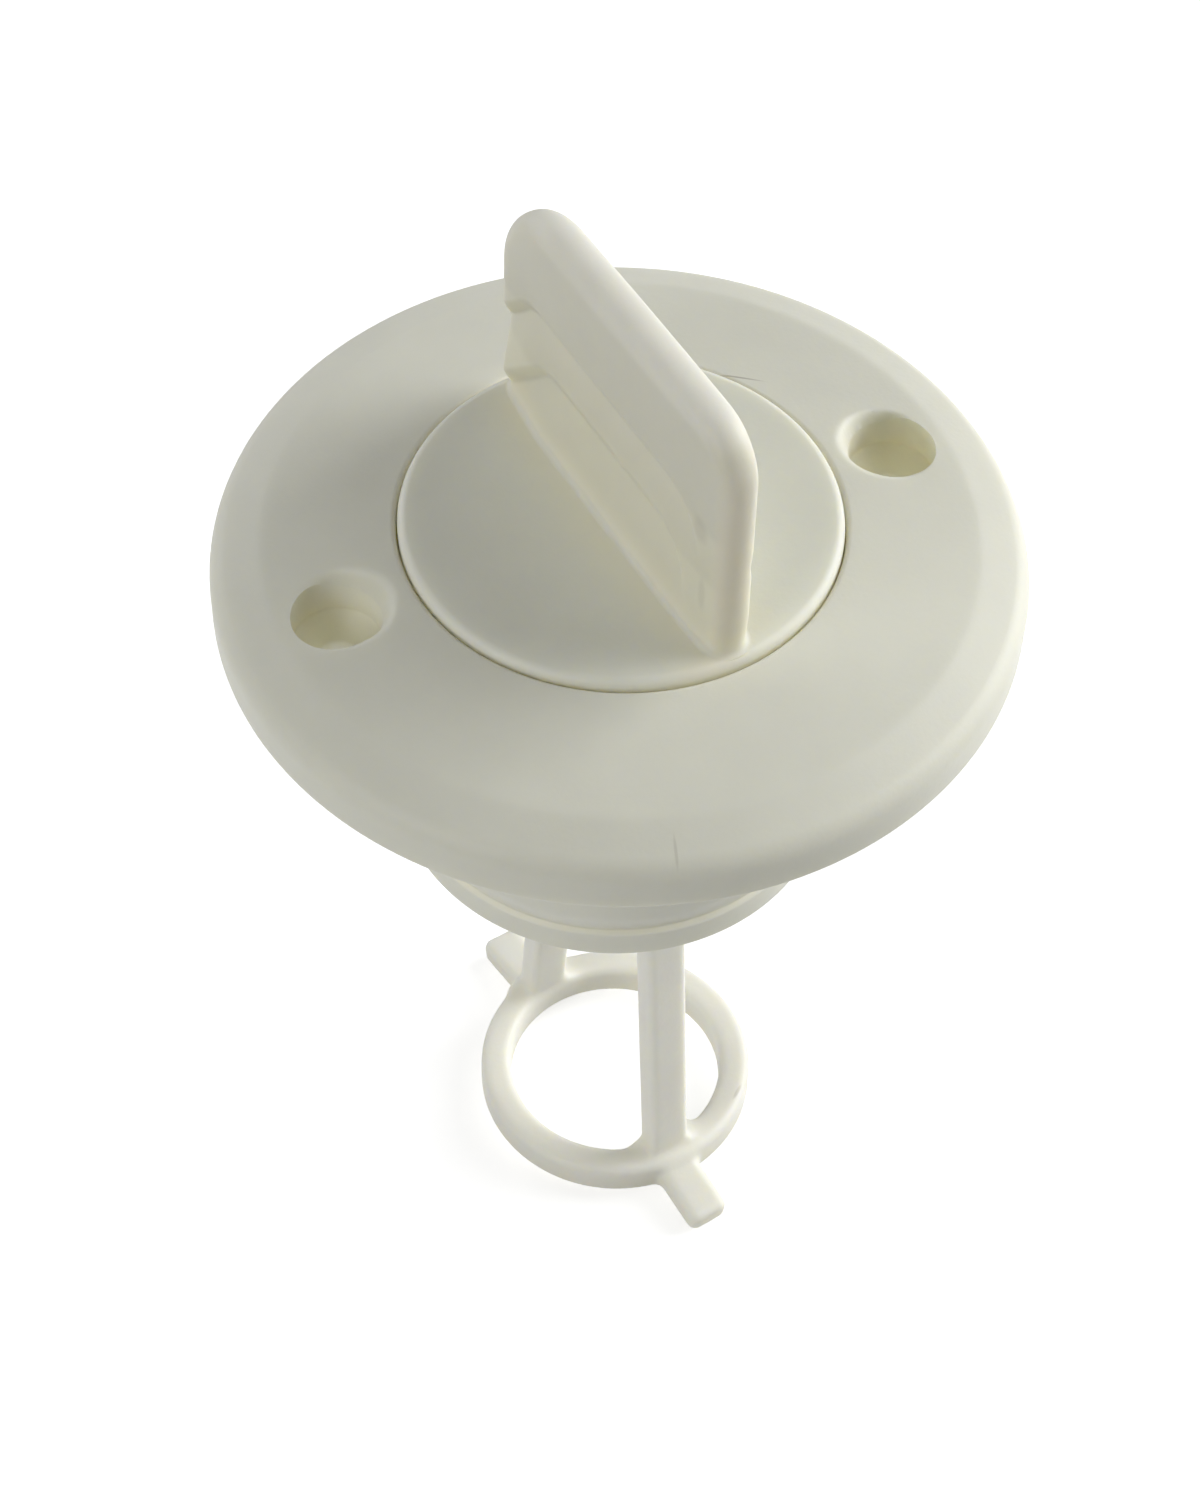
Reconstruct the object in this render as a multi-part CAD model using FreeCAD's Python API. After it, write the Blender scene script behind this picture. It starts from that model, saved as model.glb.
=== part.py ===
"""Captive drain plug and its socket for a small boat, in millimetres, +Z up out of the hull.

The origin is the middle of the flange's underside, the face that lies on the hull.
The two screw holes are on the X axis. The finger wing lies close to the Y axis.
"""
import FreeCAD, Part
import math
import os

from FreeCAD import Vector

# Socket flange
FLANGE_R = 27.0
FLANGE_CROWN = 6.2
CROWN_EDGE_R = 23.6
CROWN_EDGE_HEIGHT = 4.75
RIM_HEIGHT = 3.45
RIM_ROUND = 1.1
CROWN_EDGE_ROUND = 3.0
UNDERSIDE_ROUND = 0.25

# Screw holes
SCREW_SPACING = 39.6
SCREW_HOLE_R = 1.5
SCREW_RECESS_R = 3.0
SCREW_SEAT_HEIGHT = 2.4
SCREW_LIP_DROP = 0.3
SCREW_LIP_REACH = 1.2
SCREW_LIP_ROUND = 1.5

# Socket barrel
BARREL_R = 15.75
BARREL_LENGTH = 21.6
LIP_R = 15.35
LIP_LENGTH = 2.3
LIP_ROUND = 0.3
CREASE_R = 15.0
CREASE_WIDTH = 0.35
BARREL_SHOULDER = 2.0
BARREL_SHOULDER_ROUND = 3.0
BARREL_EDGE_ROUND = 0.4

# Thread zone: the solids are plain at the two root radii
THREAD_DEPTH = 0.9
THREAD_CLEARANCE = 0.3
STEM_CREST_R = 12.1
STEM_R = STEM_CREST_R - THREAD_DEPTH
BORE_R = STEM_CREST_R + THREAD_CLEARANCE

# Plug head
HEAD_R = 14.6
HEAD_GAP = 0.18
HEAD_THICKNESS = 2.5
HEAD_PROUD = 0.5
HEAD_EDGE_ROUND = 0.9
HEAD_UNDER_ROUND = 0.3
RECESS_LIP_ROUND = 0.35

# Sealing ring
SEAL_SECTION = 2.2
SEAL_CLEARANCE = 0.1

# Stem
STEM_WALL = 2.4
STEM_REACH = 20.2
NECK_REACH = 0.4
NECK_TAPER = 0.9
STEM_EDGE_ROUND = 0.4
STEM_ROOF_ROUND = 1.0

# Finger wing
WING_LENGTH = 27.8
WING_HEIGHT = 18.4
WING_ROOT = 1.0
WING_FOOT_MIDDLE = 3.6
WING_FOOT_END = 2.8
WING_TOP_MIDDLE = 2.9
WING_TOP_END = 2.6
WING_SHOULDER_FRONT = 4.2
WING_SHOULDER_BACK = 6.4
WING_EDGE_ROUND = 1.1
WING_MARGIN = 1.0

# Finger ledges on each face of the wing, counted down from its top
LEDGE_DROPS = (6.9, 11.3)
LEDGE_BANDS = (4.4, 7.0)
LEDGE_DEPTH = 0.75
LEDGE_SLEW = 0.6
LEDGE_CLOSED_END = 12.0
LEDGE_OPEN_END = 15.5
LEDGE_CLOSED_ROUND = 6.0
LEDGE_OPEN_ROUND = 9.5

# Captive cage
RING_DEPTH = 59.2
RING_R = 9.55
RING_WIDTH = 2.4
RING_THICKNESS = 3.0
RING_ROUND = 0.8
RING_ASIDE = 0.95
RING_AHEAD = -0.45
CAGE_TURN = 2.2
LEG_WIDTH = 3.25
LEG_THICKNESS = 2.2
LEG_ROOT_R = 3.9
LEG_FOOT_R = 9.15
LEG_FLARE = 1.4
LEG_FOOT_SINK = 0.6
LUG_TIP_R = 15.8
LUG_WIDTH = 3.3
LUG_THICKNESS = 2.2
LUG_DROOP = 9.0
LUG_ROOT_R = 8.9
LUG_ROUND = 0.45

# Turn of the tightened plug from the Y axis
SEATED_TURN = 7.5

HEAD_TOP = FLANGE_CROWN + HEAD_PROUD
HEAD_UNDER = HEAD_TOP - HEAD_THICKNESS
RECESS_R = HEAD_R + HEAD_GAP
RECESS_FLOOR = HEAD_UNDER - SEAL_SECTION - 2 * SEAL_CLEARANCE
STEM_END = HEAD_UNDER - STEM_REACH
STEM_BORE_R = STEM_R - STEM_WALL
WING_TOP = HEAD_TOP + WING_HEIGHT
NO_ROUND = 0.0
SAME_POINT = 1e-6
AXIS = Vector(0, 0, 1)
ORIGIN = Vector(0, 0, 0)


def section(radius, height):
    """A point of a turned section, seen along Y."""
    return Vector(radius, 0, height)


def side_view(along, height):
    """A point of the wing or cage seen from its broad side, along X."""
    return Vector(0, along, height)


def corner_trim(before, corner, after, radius):
    """Where a rounded corner starts, its middle and where it ends."""
    if radius == NO_ROUND:
        return corner, None, corner
    back = (before - corner).normalize()
    ahead = (after - corner).normalize()
    half_angle = back.getAngle(ahead) / 2
    reach = radius / math.tan(half_angle)
    inward = (back + ahead).normalize()
    centre = corner + inward * (radius / math.sin(half_angle))
    return corner + back * reach, centre - inward * radius, corner + ahead * reach


def rounded_wire(corners, place):
    """Closed wire through (u, v, radius) corners, each rounded by its own radius."""
    points = [place(u, v) for u, v, _ in corners]
    count = len(points)
    trims = []
    for i in range(count):
        trims.append(corner_trim(points[i - 1], points[i], points[(i + 1) % count], corners[i][2]))
    edges = []
    for i, (start, middle, end) in enumerate(trims):
        if middle is not None:
            edges.append(Part.Arc(start, middle, end).toShape())
        following = trims[(i + 1) % count][0]
        if end.distanceToPoint(following) > SAME_POINT:
            edges.append(Part.makeLine(end, following))
    return Part.Wire(edges)


def turned(corners):
    """Solid of revolution about Z from a rounded section."""
    return Part.Face(rounded_wire(corners, section)).revolve(ORIGIN, AXIS, 360)


def socket_body():
    """Crowned flange, recess for the head and open barrel, turned in one."""
    barrel_end = -BARREL_LENGTH
    lip_start = barrel_end + LIP_LENGTH
    crease = lip_start + CREASE_WIDTH
    return turned([
        (BORE_R, barrel_end, BARREL_EDGE_ROUND),
        (LIP_R, barrel_end, BARREL_EDGE_ROUND),
        (LIP_R, lip_start, LIP_ROUND),
        (CREASE_R, crease, NO_ROUND),
        (BARREL_R, crease + BARREL_SHOULDER, BARREL_SHOULDER_ROUND),
        (BARREL_R, 0, NO_ROUND),
        (FLANGE_R, 0, UNDERSIDE_ROUND),
        (FLANGE_R, RIM_HEIGHT, RIM_ROUND),
        (CROWN_EDGE_R, CROWN_EDGE_HEIGHT, CROWN_EDGE_ROUND),
        (RECESS_R, FLANGE_CROWN, RECESS_LIP_ROUND),
        (RECESS_R, RECESS_FLOOR, NO_ROUND),
        (BORE_R, RECESS_FLOOR, NO_ROUND),
    ])


def crown_height(radius):
    """Height of the flange's crowned top at a radius inside its edge."""
    share = (radius - RECESS_R) / (CROWN_EDGE_R - RECESS_R)
    return FLANGE_CROWN + share * (CROWN_EDGE_HEIGHT - FLANGE_CROWN)


def screw_hole(x):
    """Through hole, conical seat and recess for one screw head, as a cutting body.

    The level lip meets the sloping crown, so it is widest on the side of the plug.
    """
    lip = crown_height(abs(x)) - SCREW_LIP_DROP
    seat_foot = SCREW_SEAT_HEIGHT - (SCREW_RECESS_R - SCREW_HOLE_R)
    wide = SCREW_RECESS_R + SCREW_LIP_REACH
    above = lip + SCREW_LIP_REACH + FLANGE_CROWN
    cutter = turned([
        (0, -1, NO_ROUND),
        (SCREW_HOLE_R, -1, NO_ROUND),
        (SCREW_HOLE_R, seat_foot, NO_ROUND),
        (SCREW_RECESS_R, SCREW_SEAT_HEIGHT, NO_ROUND),
        (SCREW_RECESS_R, lip, SCREW_LIP_ROUND),
        (wide, lip + SCREW_LIP_REACH, NO_ROUND),
        (wide, above, NO_ROUND),
        (0, above, NO_ROUND),
    ])
    cutter.translate(Vector(x, 0, 0))
    return cutter


def socket():
    """The fixed moulding."""
    half = SCREW_SPACING / 2
    return socket_body().cut([screw_hole(-half), screw_hole(half)])


def sealing_ring():
    """Rubber ring round the plug's neck, between the head and the recess floor."""
    section_r = SEAL_SECTION / 2
    ring_r = STEM_CREST_R + SEAL_CLEARANCE + section_r
    height = RECESS_FLOOR + SEAL_CLEARANCE + section_r
    return Part.makeTorus(ring_r, section_r, Vector(0, 0, height), AXIS)


def plug_body():
    """Head, neck and hollow stem, turned in one."""
    neck_end = RECESS_FLOOR - NECK_REACH
    return turned([
        (0, HEAD_UNDER, NO_ROUND),
        (STEM_BORE_R, HEAD_UNDER, STEM_ROOF_ROUND),
        (STEM_BORE_R, STEM_END, STEM_EDGE_ROUND),
        (STEM_R, STEM_END, STEM_EDGE_ROUND),
        (STEM_R, neck_end - NECK_TAPER, NO_ROUND),
        (STEM_CREST_R, neck_end, NO_ROUND),
        (STEM_CREST_R, HEAD_UNDER, NO_ROUND),
        (HEAD_R, HEAD_UNDER, HEAD_UNDER_ROUND),
        (HEAD_R, HEAD_TOP, HEAD_EDGE_ROUND),
        (0, HEAD_TOP, NO_ROUND),
    ])


def wing_plan(height, middle, end):
    """Lens-shaped plan of the wing at one height, with flat ends."""
    half = WING_LENGTH / 2 + WING_MARGIN
    near = [Vector(side * end / 2, -half, height) for side in (-1, 1)]
    far = [Vector(side * end / 2, half, height) for side in (-1, 1)]
    waist = [Vector(side * middle / 2, 0, height) for side in (-1, 1)]
    return Part.Wire([
        Part.makeLine(near[0], near[1]),
        Part.Arc(near[1], waist[1], far[1]).toShape(),
        Part.makeLine(far[1], far[0]),
        Part.Arc(far[0], waist[0], near[0]).toShape(),
    ])


def wing_blank():
    """The wing before its ledges: a lens in plan, a rounded plate from the side."""
    foot = HEAD_TOP - WING_ROOT
    lens = Part.makeLoft([
        wing_plan(foot, WING_FOOT_MIDDLE, WING_FOOT_END),
        wing_plan(WING_TOP + WING_MARGIN, WING_TOP_MIDDLE, WING_TOP_END),
    ], True, True)
    half = WING_LENGTH / 2
    outline = rounded_wire([
        (-half, foot, NO_ROUND),
        (half, foot, NO_ROUND),
        (half, WING_TOP, WING_SHOULDER_BACK),
        (-half, WING_TOP, WING_SHOULDER_FRONT),
    ], side_view)
    plate = Part.Face(outline).extrude(Vector(2 * WING_FOOT_MIDDLE, 0, 0))
    plate.translate(Vector(-WING_FOOT_MIDDLE, 0, 0))
    blank = lens.common(plate)
    return blank.makeFillet(WING_EDGE_ROUND, rim_edges(blank, foot))


def rim_edges(blank, foot):
    """The edges round the wing's outline, on both faces, apart from its foot."""
    found = []
    for edge in blank.Edges:
        xs = [vertex.X for vertex in edge.Vertexes]
        one_face = min(xs) * max(xs) > 0
        at_foot = edge.BoundBox.ZMax < foot + SAME_POINT
        if one_face and not at_foot:
            found.append(edge)
    return found


def ledge_cutter(drop, band):
    """Slanting cut under one ledge: deepest at the ledge, out to the face at the band's foot."""
    low = -band - LEDGE_DEPTH
    outline = rounded_wire([
        (-LEDGE_CLOSED_END, low - LEDGE_CLOSED_ROUND, NO_ROUND),
        (LEDGE_OPEN_END, low - LEDGE_CLOSED_ROUND, NO_ROUND),
        (LEDGE_OPEN_END, 0, LEDGE_OPEN_ROUND),
        (-LEDGE_CLOSED_END, 0, LEDGE_CLOSED_ROUND),
    ], side_view)
    cutter = Part.Face(outline).extrude(Vector(-2 * WING_FOOT_MIDDLE, 0, 0))
    cutter.rotate(ORIGIN, Vector(0, 1, 0), math.degrees(math.atan(LEDGE_DEPTH / band)))
    cutter.rotate(ORIGIN, AXIS, -LEDGE_SLEW)
    share = (WING_HEIGHT - drop) / WING_HEIGHT
    face = (WING_FOOT_MIDDLE + share * (WING_TOP_MIDDLE - WING_FOOT_MIDDLE)) / 2
    cutter.translate(Vector(LEDGE_DEPTH - face, 0, WING_TOP - drop))
    return cutter


def wing():
    """Finger wing with two ledges on each face, alike after half a turn."""
    cutters = []
    for drop, band in zip(LEDGE_DROPS, LEDGE_BANDS):
        cutter = ledge_cutter(drop, band)
        cutters.append(cutter)
        cutters.append(cutter.rotated(ORIGIN, AXIS, 180))
    return wing_blank().cut(cutters)


def cage_ring():
    """The ring that joins the two legs, with its middle a little off the plug's axis."""
    half = RING_THICKNESS / 2
    inner = RING_R - RING_WIDTH / 2
    outer = RING_R + RING_WIDTH / 2
    ring = turned([
        (inner, -RING_DEPTH - half, RING_ROUND),
        (outer, -RING_DEPTH - half, RING_ROUND),
        (outer, -RING_DEPTH + half, RING_ROUND),
        (inner, -RING_DEPTH + half, RING_ROUND),
    ])
    ring.translate(Vector(RING_ASIDE, RING_AHEAD, 0))
    return ring


def leg():
    """One leg: a strip that leans outwards, flared where it meets the ring."""
    top = HEAD_UNDER + WING_ROOT
    foot = -RING_DEPTH - RING_THICKNESS / 2 + LEG_FOOT_SINK
    ring_top = -RING_DEPTH + RING_THICKNESS / 2
    half = LEG_THICKNESS / 2
    lean = Part.Face(rounded_wire([
        (LEG_ROOT_R - half, top, NO_ROUND),
        (LEG_ROOT_R + half, top, NO_ROUND),
        (LEG_FOOT_R + half, foot, NO_ROUND),
        (LEG_FOOT_R - half, foot, NO_ROUND),
    ], side_view)).extrude(Vector(4 * LEG_WIDTH, 0, 0))
    lean.translate(Vector(-2 * LEG_WIDTH, 0, 0))
    side = LEG_WIDTH / 2
    wide = side + LEG_FLARE
    front = Part.Face(rounded_wire([
        (-side, top, NO_ROUND),
        (side, top, NO_ROUND),
        (side, ring_top, LEG_FLARE),
        (wide, ring_top, NO_ROUND),
        (wide, foot, NO_ROUND),
        (-wide, foot, NO_ROUND),
        (-wide, ring_top, NO_ROUND),
        (-side, ring_top, LEG_FLARE),
    ], section)).extrude(Vector(0, 2 * LUG_TIP_R, 0))
    return lean.common(front)


def lug():
    """One lug, pointing outwards past the ring and drooping a little."""
    half = LUG_THICKNESS / 2
    reach = LUG_TIP_R - LUG_ROOT_R
    plate = Part.Face(rounded_wire([
        (0, -half, NO_ROUND),
        (reach, -half, LUG_ROUND),
        (reach, half, LUG_ROUND),
        (0, half, NO_ROUND),
    ], side_view)).extrude(Vector(LUG_WIDTH, 0, 0))
    plate.translate(Vector(-LUG_WIDTH / 2, 0, 0))
    plate.rotate(ORIGIN, Vector(1, 0, 0), -LUG_DROOP)
    plate.translate(Vector(0, LUG_ROOT_R, -RING_DEPTH))
    return plate


def cage():
    """Ring, legs and lugs, all turned a little from the wing's length."""
    pieces = [cage_ring()]
    for turn in (0, 180):
        pieces.append(leg().rotated(ORIGIN, AXIS, turn))
        pieces.append(lug().rotated(ORIGIN, AXIS, turn))
    return [piece.rotated(ORIGIN, AXIS, CAGE_TURN) for piece in pieces]


def plug():
    """The turning moulding: head, wing, stem, legs, ring and lugs in one."""
    whole = plug_body().fuse([wing()] + cage()).removeSplitter()
    return whole.rotated(ORIGIN, AXIS, SEATED_TURN)


NODES = {
    "socket": socket,
    "sealing_ring": sealing_ring,
    "plug": plug,
}


def main():
    """Write one STEP file for each node."""
    os.makedirs("parts", exist_ok=True)
    for name, make in NODES.items():
        make().exportStep("parts/" + name + ".step")


main()
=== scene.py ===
"""Looks of the captive drain plug and socket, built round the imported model.

Shapes are worked out in millimetres and turned into metres when a mesh is made.
"""

import math

import bmesh
import bpy
import numpy as np
import openvdb
from mathutils import Matrix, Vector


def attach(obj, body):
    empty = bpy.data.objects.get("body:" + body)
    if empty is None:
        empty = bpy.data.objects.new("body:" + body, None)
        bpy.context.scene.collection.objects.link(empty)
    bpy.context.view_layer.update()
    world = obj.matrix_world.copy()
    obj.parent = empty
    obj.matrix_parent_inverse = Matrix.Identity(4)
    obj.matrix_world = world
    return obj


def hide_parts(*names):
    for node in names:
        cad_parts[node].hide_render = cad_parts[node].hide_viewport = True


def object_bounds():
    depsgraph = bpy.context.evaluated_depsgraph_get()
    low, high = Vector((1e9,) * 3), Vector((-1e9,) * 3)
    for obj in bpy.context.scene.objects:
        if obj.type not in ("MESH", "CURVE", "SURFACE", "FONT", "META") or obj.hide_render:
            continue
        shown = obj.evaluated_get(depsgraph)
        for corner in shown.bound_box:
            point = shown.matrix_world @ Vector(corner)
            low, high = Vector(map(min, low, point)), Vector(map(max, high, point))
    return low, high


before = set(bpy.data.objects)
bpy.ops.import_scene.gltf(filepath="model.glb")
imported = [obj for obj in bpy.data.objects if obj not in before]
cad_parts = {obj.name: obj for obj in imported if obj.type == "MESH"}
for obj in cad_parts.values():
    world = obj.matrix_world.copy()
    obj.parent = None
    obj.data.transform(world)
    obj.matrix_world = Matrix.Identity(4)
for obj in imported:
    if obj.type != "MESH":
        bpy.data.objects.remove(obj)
cad_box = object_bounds()

MM = 0.001

# Meshing: widest angle between the points of a rounded corner, longest straight run, and the
# distance in mm below which two points are one
CORNER_ANGLE = 9.0
LONGEST_RUN = 1.0
WELD = 1e-4

# Socket: the CAD model's form, with its edges fitted more closely to the photograph
FLANGE_R = 27.0
FLANGE_CROWN = 6.2
CROWN_EDGE_R = 23.6
CROWN_EDGE_HEIGHT = 4.75
RIM_HEIGHT = 3.45
RIM_ROUND = 1.7
CROWN_EDGE_ROUND = 3.0
UNDERSIDE_ROUND = 0.25
SCREW_X = 19.8
SCREW_HOLE_R = 1.4
SCREW_RECESS_R = 2.95
SCREW_SEAT_HEIGHT = 2.4
SCREW_SEAT_ROUND = 0.3
SCREW_LIP_DROP = 0.12
SCREW_LIP_LEAST = 0.06
SCREW_LIP_DIP = 0.75
SCREW_LIP_START = -0.1
SCREW_LIP_SPREAD = 0.8
SCREW_LIP_FALL = 0.3
SCREW_LIP_SOFT = 0.35
SCREW_LIP_SIDES = ((-1, 17.6), (1, 130.0))
SCREW_MIDDLE = 0.01
BARREL_R = 15.75
BARREL_LENGTH = 21.6
LIP_R = 15.35
LIP_LENGTH = 2.3
LIP_ROUND = 0.3
CREASE_R = 15.0
CREASE_WIDTH = 0.35
CREASE_ROUND = 0.2
BARREL_SHOULDER = 2.0
BARREL_SHOULDER_ROUND = 3.0
BARREL_EDGE_ROUND = 0.4
RECESS_R = 14.70
RECESS_FLOOR = 1.8
RECESS_LIP_ROUND = 0.35
BORE_R = 12.4
CROWN_STEP = 0.2
CROWN_START = 0.6
CROWN_INSET = 0.1
DIP_INSET = 0.2
HOLE_HALF_ANGLE = 14
HOLE_ANGLE_STEP = 0.5
SOCKET_ANGLE_STEP = 2.0
CUTTER_ANGLE_STEP = 5.0
CUTTER_SPARE = 1.0

# Plug: head, neck and hollow stem
HEAD_R = 14.6
HEAD_TOP = 6.7
HEAD_UNDER = 4.2
HEAD_EDGE_ROUND = 0.65
HEAD_UNDER_ROUND = 0.3
NECK_R = 12.1
NECK_END = 1.4
NECK_TAPER = 0.9
STEM_R = 11.2
STEM_BORE_R = 8.8
STEM_END = -16.0
STEM_EDGE_ROUND = 0.4
STEM_ROOF_ROUND = 1.0
SEATED_TURN = 7.5
PLUG_ANGLE_STEP = 1.5

# Wing, with two ledges on each face: how far below the crest they lie, how far they reach, and the
# places along the wing where they end at one side and slope down at the other
WING_HALF = 13.9
WING_HEIGHT = 18.4
WING_ROOT = 1.0
WING_FOOT = (3.6, 2.8)
WING_CREST = (2.9, 2.6)
WING_MARGIN = 1.0
WING_STEP = 0.3
WING_MIDDLE_ENDS = (4.1, 4.0)
WING_END_STEPS = (0, 0.03, 0.1, 0.22, 0.38, 0.58, 0.8, 1.05, 1.35, 1.65, 2.0, 2.35, 2.7, 3.05,
                  3.4, 3.75)
WING_ROW_STEP = 0.15
WING_FOOT_SHARES = (1.0, 0.7, 0.45, 0.25, 0.1, 0.02, -0.02, -0.8, -2.0)
SHOULDER_FRONT = 4.2
SHOULDER_BACK = 6.4
EDGE_ROUND = 1.35
EDGE_ROWS = 9
EDGE_POWER = 2.2
FOOT_FILLET = 0.4
LEDGE_DROPS = (8.25, 12.4)
LEDGE_BANDS = (4.4, 7.6)
LEDGE_DEPTH = 0.78
LEDGE_SLEW = 0.6
LEDGE_ROLL = 1.5
LEDGE_BEND = 1.4
LEDGE_FADE = 1.5
LEDGE_CLOSED_ENDS = (11.6, 9.9)
LEDGE_CLOSED_ROUNDS = (5.2, 4.4)
LEDGE_SLOPE_STARTS = (8.8, 6.75)
LEDGE_KNEE_ROUND = 3.0

# Threads
PITCH = 4.0
RIDGE_ROOT_WIDTH = 2.2
RIDGE_CREST_WIDTH = 1.2
RIDGE_SINK = 0.35
RIDGE_RUNOUT = 35.0
RIDGE_STEP = 4
RIDGE_LEAST = 0.02
RIDGE_CROWN = 0.18
RIDGE_FLANK_SIDE = 0.12
RIDGE_CREST_SIDE = 0.1
PLUG_CREST_R = 12.1
PLUG_RIDGE = (-14.4, -0.7)
SOCKET_CREST_R = 11.5
SOCKET_RIDGE = (-19.6, -1.4)

# Cage: ring, legs and lugs, and then the grid that they are meshed on
RING_DEPTH = 59.2
RING_R = 9.55
RING_HALF_WIDTH = 1.2
RING_HALF_THICKNESS = 1.5
RING_ROUND = 0.7
RING_ASIDE = 0.95
RING_AHEAD = -0.45
CAGE_TURN = 2.2
LEG_TOP = 5.2
LEG_ROOT_R = 3.9
LEG_FOOT_R = 9.15
LEG_HALF_WIDTH = 1.625
LEG_HALF_THICKNESS = 1.1
LEG_END_BELOW = 0.3
LEG_ROUND = 0.5
LEG_FLARE = 1.05
LUG_ROOT_R = 8.9
LUG_TIP_R = 15.8
LUG_HALF_WIDTH = 1.65
LUG_HALF_THICKNESS = 1.1
LUG_DROOP = 9.0
LUG_ROUND = 0.7
CAGE_BLEND = 0.7
CAGE_FOOT = -62.4
CAGE_FINE_TOP = -54.0
CAGE_MARGIN = 0.8
CAGE_SIDE_MARGIN = 1.2
CELL = 0.2
LEG_CELL = 1.1
LEG_TOP_CELLS = (-0.4, 0.2, 0.8)
FAR_OUTSIDE = 10.0

# Shading: the angle past which an edge stays hard, and the weight of large faces next to small ones
HARD_EDGE = 35.0
EVEN_WEIGHT = 80

# Plastics: tones at heights in mm, in the open and in hollows, which hold painted light and shade
# besides the plastics' own colour; how deep light scatters there, in metres; and small marks, with
# their middle and half sizes in mm, turn from X, tint and share
# Socket tone, the same plastic throughout, but lighter towards the barrel's foot: painted light
# there
SOCKET_TONES_AND_PAINTED_LIGHT = (
    (-22.0, (0.74, 0.74, 0.65)),
    (-1.0, (0.71, 0.71, 0.62)),
    (7.0, (0.71, 0.71, 0.62)),
)
# Lighter, yellower colour in the socket's hollows and screw holes: painted light
SOCKET_PAINTED_HOLLOW_LIGHT = ((-22.0, (0.97, 0.93, 0.73)), (7.0, (0.97, 0.93, 0.73)))
SOCKET_DEPTHS = (0.0015, 0.0065)
SOCKET_SCATTER = 0.7
# Plug tones: the head keeps the plug's own colour; the cage and the wing's lower band are lighter,
# painted light; darker bands just above the wing's two ledges are painted shade, with painted light
# just below them; the pale wing crest is a painted highlight
PLUG_TONES_AND_PAINTED_LIGHT = (
    (-62.0, (0.82, 0.815, 0.75)),
    (-14.0, (0.80, 0.795, 0.735)),
    (3.0, (0.77, 0.775, 0.69)),
    (7.2, (0.77, 0.775, 0.69)),
    (8.0, (0.72, 0.705, 0.575)),
    (12.4, (0.74, 0.725, 0.585)),
    (13.0, (0.69, 0.675, 0.545)),
    (16.5, (0.725, 0.71, 0.59)),
    (17.2, (0.665, 0.655, 0.55)),
    (19.5, (0.685, 0.675, 0.575)),
    (23.6, (0.685, 0.675, 0.575)),
    (25.1, (0.80, 0.795, 0.73)),
)
# Plug colour in hollows: lighter in the head's gap and lower down, painted light; darker in the
# wing's creases above 9.6 mm, painted shade
PLUG_PAINTED_HOLLOW_LIGHT_AND_SHADE = (
    (-62.0, (0.84, 0.81, 0.66)),
    (8.2, (0.78, 0.75, 0.58)),
    (9.6, (0.66, 0.64, 0.49)),
    (25.1, (0.66, 0.64, 0.49)),
)
PLUG_DEPTHS = (0.0012, 0.0036)
PLUG_SCATTER = 1.0
DARK = (0.25, 0.22, 0.16)
PALE = (0.82, 0.82, 0.78)
BROWNISH = (0.735, 0.70, 0.59)
SOCKET_MARKS = (
    ((12.2, 9.0, 6.12), (2.2, 0.09, 0.5), -30.0, DARK, 0.6),
    ((-7.0, -24.8, 3.93), (1.3, 0.12, 1.0), -106.0, DARK, 0.22),
)
PLUG_MARKS = (
    ((8.70, -7.0, -57.7), (0.85, 0.16, 0.6), 40.8, DARK, 0.28),
    ((3.51, 5.82, -57.7), (0.35, 0.22, 0.6), 0.0, DARK, 0.45),
    ((7.6, -8.2, -57.7), (1.4, 0.16, 0.5), 38.0, PALE, 0.5),
    ((3.39, -8.31, -57.7), (0.45, 0.35, 0.8), 10.0, PALE, 0.6),
    ((-0.10, -11.4, 16.45), (0.8, 0.95, 1.2), 0.0, DARK, 0.16),
    ((-0.05, -12.05, 11.2), (0.6, 0.45, 1.6), 0.0, DARK, 0.12),
    ((0.0, -14.3, 15.5), (4.0, 1.5, 13.0), 0.0, BROWNISH, 0.9),
)
MARK_FADE = (0.4, 1.2)
MOTTLE_SCALE = 260.0
MOTTLE_DETAIL = 6.0
MOTTLE_RANGE = (0.965, 1.035)
GRAIN_SCALE = 2600.0
GRAIN_DETAIL = 3.0
GRAIN_STRENGTH = 0.16
GRAIN_HEIGHT = 0.00008
PLASTIC_ROUGHNESS = (0.45, 0.55)
PLASTIC_IOR = 1.46
SCATTER_RADIUS = (1.0, 0.92, 0.62)
HOLLOW_REACH = 0.004
HOLLOW_SAMPLES = 8
CLOSED_SHARE = 0.3
SHALLOW_SHARE = 0.8

# Rubber of the sealing ring
RUBBER_SCALE = 900.0
RUBBER_DETAIL = 2.0
RUBBER_ROUGHNESS = (0.55, 0.75)
RUBBER_TONES = ((0.016, 0.016, 0.017), (0.03, 0.03, 0.031))

# Camera, fitted to the photograph
PHOTO_WIDTH = 1200
PHOTO_HEIGHT = 1490
FOCAL_PIXELS = 3300.0
CAMERA_ELEVATION = 51.23
CAMERA_ROLL = 1.708
CAMERA_TURN = 24.4
CAMERA_DISTANCE = 214.949
CAMERA_RIGHT = 1.387
CAMERA_UP = 14.872
CAMERA_TARGET_Z = 6.2
SENSOR = 36.0
CLIP_START = 0.01
CLIP_END = 10.0

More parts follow.
